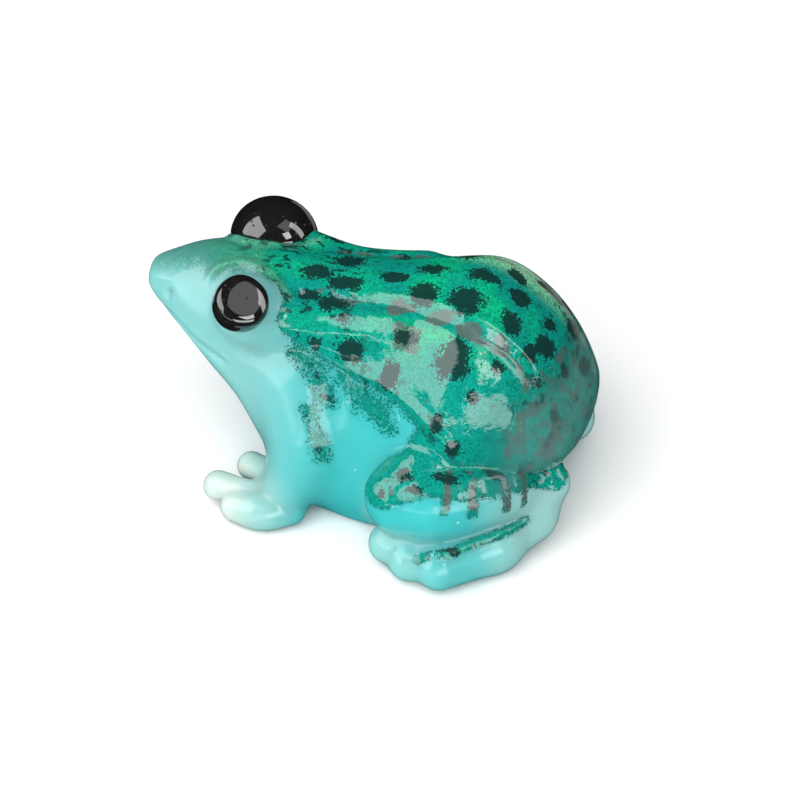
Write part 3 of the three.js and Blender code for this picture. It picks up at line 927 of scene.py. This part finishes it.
def print_masks(points, normals):
    """The print at each point: its cover, colours, spots and strength, 0 to 1."""
    side = folded(points)
    along, up = points[:, 1] / LENGTH, points[:, 2] / HEIGHT
    lid, _ = gap_to_path(side, EYELID)
    groove, _ = gap_to_path(side, GROOVE)
    bars = bar_level(points)
    cover = np.maximum(print_cover(points, normals), 0.7 * smoothstep(*BAR_PRINTS, bars))

    # Painted highlight along the right crest; near the eyelids and on the snout the ink is a lighter
    # yellow-green.
    painted_crest_highlight = smoothstep(*CREST_BACKWARD, along) * smoothstep(*CREST_UPWARD, up)
    painted_crest_highlight *= smoothstep(*CREST_RIGHTWARD, points[:, 0])
    ink_and_painted_highlight = 0.25 * smoothstep(*NEAR_EYELID, lid) + 0.7 * painted_crest_highlight
    ink_and_painted_highlight += 0.12 * smoothstep(*SNOUT_FORWARD, along)
    teal_groove = 0.9 * smoothstep(*TEAL_NEAR_GROOVE, groove)
    flank = np.maximum(0.95 * smoothstep(*FLANKS_DOWNWARD, up), teal_groove)

    seat = smoothstep(*SEAT_UPWARD, up)
    rump = seat * smoothstep(*STREAKS_BACKWARD, along) * smoothstep(*STREAKS_DOWNWARD, up)
    brown_groove = 0.52 * smoothstep(*BROWN_NEAR_GROOVE, groove)
    brown = np.max([spot_level(points, BROWN_SPOTS), bars, brown_groove, 0.49 * rump], axis=0)

    strength = 0.5 + 0.5 * smoothstep(*INK_BACKWARD, along)
    edge = smoothstep(*HEAD_EDGE_UPWARD, above_edge(points))
    strength *= np.maximum(edge, smoothstep(*BEHIND_HEAD, along))
    # The ink is fainter low on the rump.
    fainter_ink = seat * smoothstep(*FAINTER_INK_BACKWARD, along) * smoothstep(*FAINTER_INK_DOWNWARD, up)
    strength *= 1 - 0.6 * fainter_ink

    neck = smoothstep(*NECK_BACKWARD, along) * smoothstep(*NECK_FORWARD, along)
    fleck = 0.9 * neck + 0.9 * smoothstep(*RUMP_BACKWARD, along)
    for shares, amount, reach in FLECKED_LINES:
        gap, _ = gap_to_path(side, shares)
        fleck = np.maximum(fleck, amount * smoothstep(reach, reach / 3, gap))
    return {
        "cover": cover,
        "spot": spot_level(points, SPOTS),
        "brown": brown,
        "ink_and_painted_highlight": ink_and_painted_highlight,
        "flank": flank,
        "strength": strength,
        "fleck": fleck,
    }


# ---------------------------------------------------------------- operators

THINNEST_COVER = 0.02  # the film stops where less than this is printed
FILM_UNDERSIDE = 1 / 4  # height of the film's inner face, as a share of its lift

# Eyes: centre, axis, then radius, rise, foot and squareness for the dome, in millimetres.
LEFT_EYE = (LEFT_BULGE + np.array([1, 0, 1]) * 1.05, np.array([0.43, 0.36, 0.8]), (1.68, 1.1, 0.7, 0.42))
RIGHT_EYE = (RIGHT_BULGE + np.array([0.1, 0.1, -0.25]), np.array([-0.7, 0, 1]), (2.7, 2.55, 1.2, 1.0))


def finish_piece(piece, node):
    """Hangs a piece on the root body, in place of a CAD node."""
    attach(piece, "root")
    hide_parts(node)


class OBJECT_OT_frog_casting(bpy.types.Operator):
    """Build the resin casting of the body, legs and eye bulges"""

    bl_idname = "object.frog_casting"
    bl_label = "Casting"

    def execute(self, context):
        settings = context.scene.frog_casting
        vertices, normals, faces = settled_surface(settings)
        masks = resin_masks(vertices, print_cover(vertices, normals))
        piece = solid("casting", vertices, faces, resin_material(settings), **masks)
        finish_piece(piece, "body_casting")
        return {"FINISHED"}


class OBJECT_OT_frog_print(bpy.types.Operator):
    """Build the printed film on the head, the back and the tops of the hind legs"""

    bl_idname = "object.frog_print"
    bl_label = "Printed film"

    def execute(self, context):
        settings = context.scene.frog_print
        vertices, normals, faces = settled_surface(context.scene.frog_casting)
        masks = print_masks(vertices, normals)
        printed = (masks["cover"][faces] > THINNEST_COVER).any(axis=1)
        outer, faces, normals, *values = compact(vertices, faces[printed], normals, *masks.values())
        lift = normals * settings.lift / MM
        both = np.concatenate([outer + lift, outer + lift * FILM_UNDERSIDE])
        masks = {name: np.tile(value, 2) for name, value in zip(masks, values)}
        piece = solid("printed_film", both, shell(faces, len(outer)), print_material(settings), **masks)
        finish_piece(piece, "back_print_film")
        return {"FINISHED"}


class OBJECT_OT_frog_eyes(bpy.types.Operator):
    """Build the two black gloss eyes"""

    bl_idname = "object.frog_eyes"
    bl_label = "Eyes"

    def execute(self, context):
        settings = context.scene.frog_eyes
        for name, node, slot, (centre, axis, shape) in (
            ("left_eye_drop", "left_eye", "black_gloss_left", LEFT_EYE),
            ("right_eye_dome", "right_eye", "black_gloss_right", RIGHT_EYE),
        ):
            vertices, faces = dome(centre, axis, *shape)
            material = eye_material("Black gloss " + node.replace("_", " "), settings)
            finish_piece(solid(name, vertices, faces, material), node)
        return {"FINISHED"}


VIEW_AZIMUTH = 107.0
VIEW_ELEVATION = 39.25
VIEW_WIDTH = 49.1  # millimetres across the picture
VIEW_CENTRE = (-0.226, 0.04, 0.171)
CLIP_START = 0.01  # metres
FLOOR_REACH = 1500.0  # millimetres
FLOOR_CLOUDS = 0.985  # brightness of the floor's faint clouds

# Softboxes: name, azimuth, elevation, distance, width, height, and the share of the power setting. The
# large one gives the soft light, and the others are seen only in the gloss.
FILL_SOFTBOX = ("Fill softbox", 82, 46, 300, 420, 420, 1.0)
GLOSS_SOFTBOXES = (
    ("Top softbox", 172, 62, 300, 160, 120, 0.22),
    ("Front softbox", 33, 37, 240, 260, 270, 2.8),
    ("Back softbox", 128, 12, 240, 190, 105, 1.1),
    ("Back strip", 146, 42, 240, 60, 70, 0.3),
    ("Far softbox", -98, -14, 240, 130, 90, 0.05),
    ("Rear softbox", 190, 36, 240, 70, 200, 0.6),
    ("Low strip", 78, 3, 240, 190, 22, 0.2),
)


def aim(thing, target, azimuth, elevation, far):
    """Puts a light or camera this far from the target, looking at it."""
    a, e = math.radians(azimuth), math.radians(elevation)
    back = Vector((math.sin(a) * math.cos(e), -math.cos(a) * math.cos(e), math.sin(e)))
    thing.location = (Vector(target) + back * far) * MM
    thing.rotation_mode = "QUATERNION"
    thing.rotation_quaternion = (-back).to_track_quat("-Z", "Y")


def add_softbox(softbox, power, in_gloss):
    """A rectangular lamp aimed at the frog, that either lights it or only shows in its gloss."""
    name, azimuth, elevation, far, wide, tall, part = softbox
    lamp = bpy.data.lights.new(name, "AREA")
    lamp.energy = power * part
    lamp.shape = "RECTANGLE"
    lamp.size = wide * MM
    lamp.size_y = tall * MM
    holder = bpy.data.objects.new(name, lamp)
    holder.visible_glossy = in_gloss
    holder.visible_diffuse = not in_gloss
    aim(holder, at(0, 0, 0.5), azimuth, elevation, far)
    bpy.context.scene.collection.objects.link(holder)


def add_floor(settings):
    """A large pale floor with faint clouds, left out of the gloss."""
    corners = np.array([(x, y, 0) for x, y in ((-1, -1), (1, -1), (1, 1), (-1, 1))]) * FLOOR_REACH
    material, shader, tree = new_material("Pale floor", settings.floor, Roughness=0.6)
    cloud = [FLOOR_CLOUDS * value for value in settings.floor]
    tree.feed(tree.blend(tree.noise(40.0), (*settings.floor, 1), (*cloud, 1)), shader, "Base Color")
    floor = solid("floor", corners, [(0, 1, 2, 3)], material)
    floor.visible_glossy = False


def add_room(settings):
    """An even white room, left out of the gloss."""
    world = bpy.data.worlds.new("Room")
    bpy.context.scene.world = world
    world.use_nodes = True
    background = world.node_tree.nodes["Background"]
    background.inputs["Color"].default_value = (1, 1, 1, 1)
    background.inputs["Strength"].default_value = settings.sky
    world.cycles_visibility.glossy = False


def add_camera(settings):
    """A long lens that looks down on the frog's left side."""
    camera = bpy.data.cameras.new("Camera")
    camera.lens = settings.lens
    camera.clip_start = CLIP_START
    holder = bpy.data.objects.new("Camera", camera)
    far = VIEW_WIDTH * settings.lens / camera.sensor_width
    aim(holder, at(*VIEW_CENTRE), VIEW_AZIMUTH, VIEW_ELEVATION, far)
    bpy.context.scene.collection.objects.link(holder)
    bpy.context.scene.camera = holder


class OBJECT_OT_frog_stage(bpy.types.Operator):
    """Build the floor, the soft lights and the camera"""

    bl_idname = "object.frog_stage"
    bl_label = "Stage"

    def execute(self, context):
        settings = context.scene.frog_stage
        context.scene.view_settings.view_transform = "Standard"
        add_floor(settings)
        add_room(settings)
        add_softbox(FILL_SOFTBOX, settings.key_power, in_gloss=False)
        for softbox in GLOSS_SOFTBOXES:
            add_softbox(softbox, settings.side_power, in_gloss=True)
        add_camera(settings)
        return {"FINISHED"}


class VIEW3D_PT_frog(bpy.types.Panel):
    """Sidebar panel with the settings and one button per piece"""

    bl_label = "Resin frog"
    bl_space_type = "VIEW_3D"
    bl_region_type = "UI"
    bl_category = "Resin frog"

    def draw(self, context):
        for group, operator in STEPS:
            box = self.layout.box()
            settings = getattr(context.scene, group)
            for name in settings.__annotations__:
                box.prop(settings, name)
            box.operator(operator)


STEPS = (
    ("frog_casting", "object.frog_casting"),
    ("frog_print", "object.frog_print"),
    ("frog_eyes", "object.frog_eyes"),
    ("frog_stage", "object.frog_stage"),
)
GROUPS = {
    "frog_casting": FrogCastingSettings,
    "frog_print": FrogPrintSettings,
    "frog_eyes": FrogEyeSettings,
    "frog_stage": FrogStageSettings,
}
CLASSES = (
    *GROUPS.values(),
    OBJECT_OT_frog_casting,
    OBJECT_OT_frog_print,
    OBJECT_OT_frog_eyes,
    OBJECT_OT_frog_stage,
    VIEW3D_PT_frog,
)


def register():
    for kind in CLASSES:
        bpy.utils.register_class(kind)
    for name, kind in GROUPS.items():
        setattr(bpy.types.Scene, name, PointerProperty(type=kind))


def unregister():
    for name in GROUPS:
        delattr(bpy.types.Scene, name)
    for kind in reversed(CLASSES):
        bpy.utils.unregister_class(kind)


def main():
    register()
    for _, operator in STEPS:
        section, action = operator.split(".")
        getattr(getattr(bpy.ops, section), action)()


if __name__ == "__main__":
    main()
